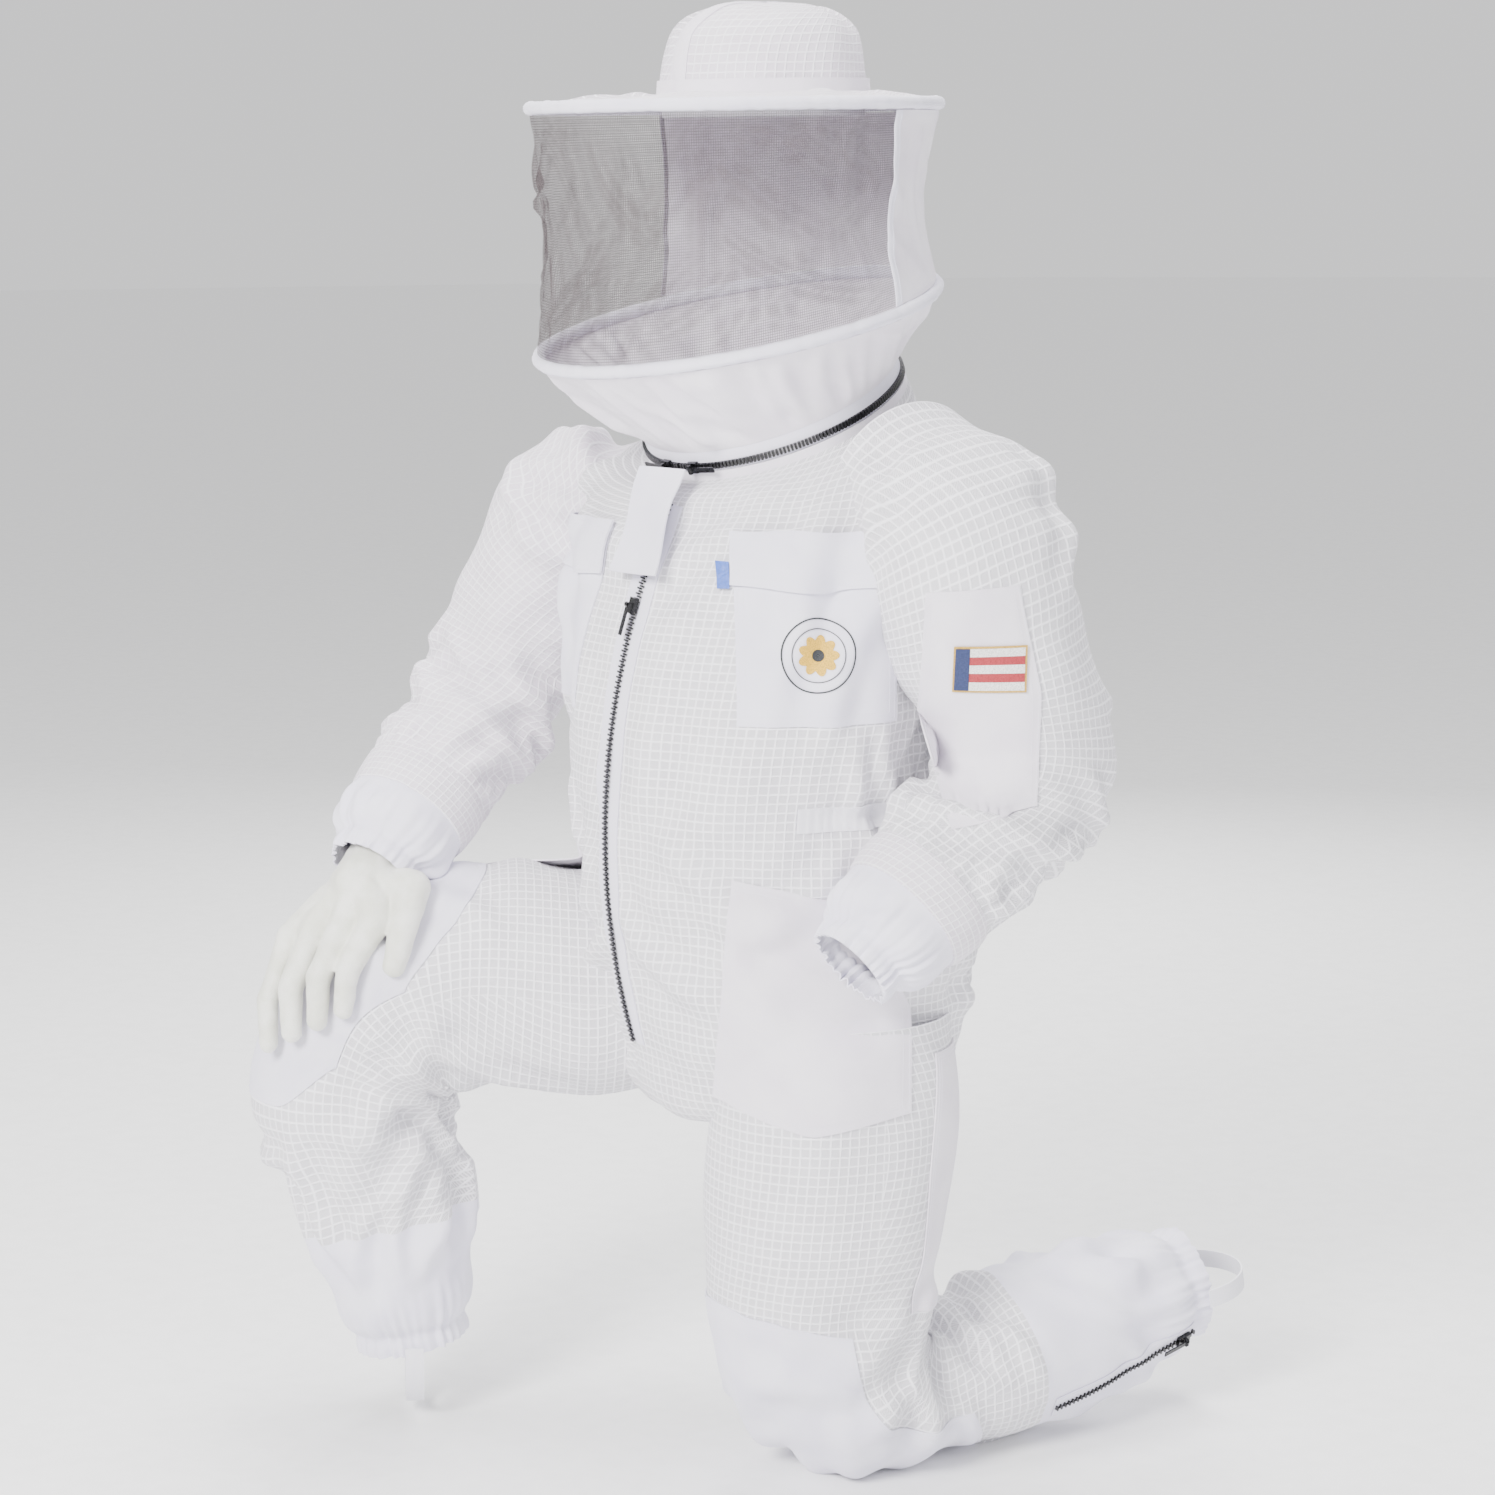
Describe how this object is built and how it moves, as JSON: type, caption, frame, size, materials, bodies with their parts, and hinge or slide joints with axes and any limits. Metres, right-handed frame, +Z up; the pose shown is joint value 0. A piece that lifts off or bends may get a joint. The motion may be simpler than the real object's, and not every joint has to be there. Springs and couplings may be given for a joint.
{
  "type": "beekeeping suit",
  "caption": "Ventilated beekeeping coverall with a zip-on round veil hood, posed kneeling, with cuffs, pockets, leg zips, foot loops and a leather glove.",
  "frame": {"origin": "centre of the neck opening, in the plane where the hood zips on to the coverall", "axes": "+Z up; -Y the way the wearer faces; +X the wearer's left"},
  "size_m": [0.6441, 0.914, 1.3791],
  "materials": {
    "mesh_cloth": "three-layer ventilated mesh, white thread grid over grey diamond net",
    "cotton": "cool white cotton twill",
    "veil_netting": "fine black tulle",
    "zip_teeth": "moulded black plastic",
    "zip_slider": "black enamelled zinc",
    "zip_tape": "woven white tape",
    "elastic": "knitted white elastic",
    "sweat_band": "soft white band",
    "glove_leather": "soft ivory goatskin"
  },
  "bodies": {
    "coverall": {"ankle_elastic_left": "elastic", "ankle_elastic_right": "elastic", "arm_panel_left": "cotton", "back_panel": "mesh_cloth", "chest_pocket_left": "cotton", "chest_pocket_right": "cotton", "cuff_elastic_left": "elastic", "cuff_elastic_right": "elastic", "cuff_left": "cotton", "cuff_right": "cotton", "front_panel_left": "mesh_cloth", "front_panel_right": "mesh_cloth", "front_zip_tape": "zip_tape", "front_zip_teeth": "zip_teeth", "hip_pocket_left": "cotton", "hip_pocket_right": "cotton", "knee_panel_left": "cotton", "knee_panel_right": "cotton", "leg_left": "mesh_cloth", "leg_right": "mesh_cloth", "leg_zip_tape_left": "zip_tape", "leg_zip_tape_right": "zip_tape", "leg_zip_teeth_left": "zip_teeth", "leg_zip_teeth_right": "zip_teeth", "neck_tape_coverall": "zip_tape", "neck_teeth_coverall": "zip_teeth", "shin_left": "cotton", "shin_right": "cotton", "sleeve_band_left": "mesh_cloth", "sleeve_band_right": "mesh_cloth", "sleeve_left": "mesh_cloth", "sleeve_right": "mesh_cloth", "thumb_loop_right": "elastic", "waist_elastic": "elastic"},
    "front_slider": {"front_slider": "zip_slider"},
    "front_pull": {"front_pull": "zip_slider"},
    "neck_slider_left": {"neck_slider_left": "zip_slider"},
    "neck_slider_right": {"neck_slider_right": "zip_slider"},
    "neck_pull_left": {"neck_pull_left": "zip_slider"},
    "neck_pull_right": {"neck_pull_right": "zip_slider"},
    "neck_flap": {"neck_flap": "cotton"},
    "chest_flap_left": {"chest_flap_left": "cotton"},
    "chest_flap_right": {"chest_flap_right": "cotton"},
    "leg_slider_left": {"leg_slider_left": "zip_slider"},
    "leg_slider_right": {"leg_slider_right": "zip_slider"},
    "leg_pull_left": {"leg_pull_left": "zip_slider"},
    "leg_pull_right": {"leg_pull_right": "zip_slider"},
    "stirrup_left": {"stirrup_left": "elastic"},
    "stirrup_right": {"stirrup_right": "elastic"},
    "glove": {"glove_right": "glove_leather"},
    "hood": {"veil_hoop": "cotton", "brim_hoop": "cotton", "veil_screen": "veil_netting", "veil_back_panel": "cotton", "hood_yoke": "cotton", "hat_brim": "cotton", "hood_crown": "cotton", "sweat_band": "sweat_band", "neck_teeth_hood": "zip_teeth", "neck_tape_hood": "zip_tape"}
  },
  "joints": [
    {"name": "front_zip_run", "type": "hinge", "parent": "coverall", "child": "front_slider", "pos_m": [0.018, 0.561, -0.365], "axis": [0.9954, 0, -0.0958], "range_deg": [-6.2, 31.5]},
    {"name": "front_pull_lift", "type": "hinge", "parent": "front_slider", "child": "front_pull", "pos_m": [0.03613, -0.17053, -0.17668], "axis": [-0.9954, 0, 0.0958], "range_deg": [0, 110]},
    {"name": "neck_zip_run_left", "type": "hinge", "parent": "coverall", "child": "neck_slider_left", "pos_m": [0, 0, 0], "axis": [0.1053, -0.3929, 0.9135], "range_deg": [0, 125]},
    {"name": "neck_pull_lift_left", "type": "hinge", "parent": "neck_slider_left", "child": "neck_pull_left", "pos_m": [0.04954, -0.1126, -0.05413], "axis": [-0.1053, 0.3929, -0.9135], "range_deg": [0, 35]},
    {"name": "neck_zip_run_right", "type": "hinge", "parent": "coverall", "child": "neck_slider_right", "pos_m": [0, 0, 0], "axis": [-0.1053, 0.3929, -0.9135], "range_deg": [0, 125]},
    {"name": "neck_pull_lift_right", "type": "hinge", "parent": "neck_slider_right", "child": "neck_pull_right", "pos_m": [0.0134, -0.12228, -0.05413], "axis": [0.1053, -0.3929, 0.9135], "range_deg": [0, 35]},
    {"name": "hood_back", "type": "hinge", "parent": "coverall", "child": "hood", "pos_m": [-0.0306, 0.11418, 0.05263], "axis": [-0.9659, -0.2588, 0], "range_deg": [0, 60]},
    {"name": "neck_flap_lift", "type": "hinge", "parent": "hood", "child": "neck_flap", "pos_m": [0.03471, -0.11923, -0.03831], "axis": [-0.9659, -0.2588, 0], "range_deg": [0, 70]},
    {"name": "chest_flap_lift_left", "type": "hinge", "parent": "coverall", "child": "chest_flap_left", "pos_m": [0.16526, -0.06806, -0.105], "axis": [-0.342, -0.9397, 0], "range_deg": [0, 80]},
    {"name": "chest_flap_lift_right", "type": "hinge", "parent": "coverall", "child": "chest_flap_right", "pos_m": [-0.07437, -0.16882, -0.105], "axis": [-0.8988, 0.4384, 0], "range_deg": [0, 80]},
    {"name": "leg_zip_run_right", "type": "slide", "parent": "coverall", "child": "leg_slider_right", "axis": [-0.1587, -0.1343, 0.9782], "range_m": [0, 0.0776]},
    {"name": "leg_pull_lift_right", "type": "hinge", "parent": "leg_slider_right", "child": "leg_pull_right", "pos_m": [-0.29601, -0.26758, -0.89492], "axis": [-0.3633, -0.9132, -0.1843], "range_deg": [0, 110]},
    {"name": "stirrup_swing_right", "type": "hinge", "parent": "coverall", "child": "stirrup_right", "pos_m": [-0.22962, -0.28591, -0.926], "axis": [0.9292, -0.3697, 0], "range_deg": [-35, 35]},
    {"name": "leg_zip_run_left", "type": "slide", "parent": "coverall", "child": "leg_slider_left", "axis": [0.1209, -0.9636, -0.2385], "range_m": [0, 0.1384]},
    {"name": "leg_pull_lift_left", "type": "hinge", "parent": "leg_slider_left", "child": "leg_pull_left", "pos_m": [0.16689, 0.37406, -0.92697], "axis": [0.4833, -0.1527, 0.862], "range_deg": [0, 110]},
    {"name": "stirrup_swing_left", "type": "hinge", "parent": "coverall", "child": "stirrup_left", "pos_m": [0.107, 0.3991, -0.88533], "axis": [1, 0, 0], "range_deg": [-35, 35]},
    {"name": "glove_off", "type": "slide", "parent": "coverall", "child": "glove", "axis": [-0.3525, -0.886, 0.3011], "range_m": [0, 0.25]}
  ]
}
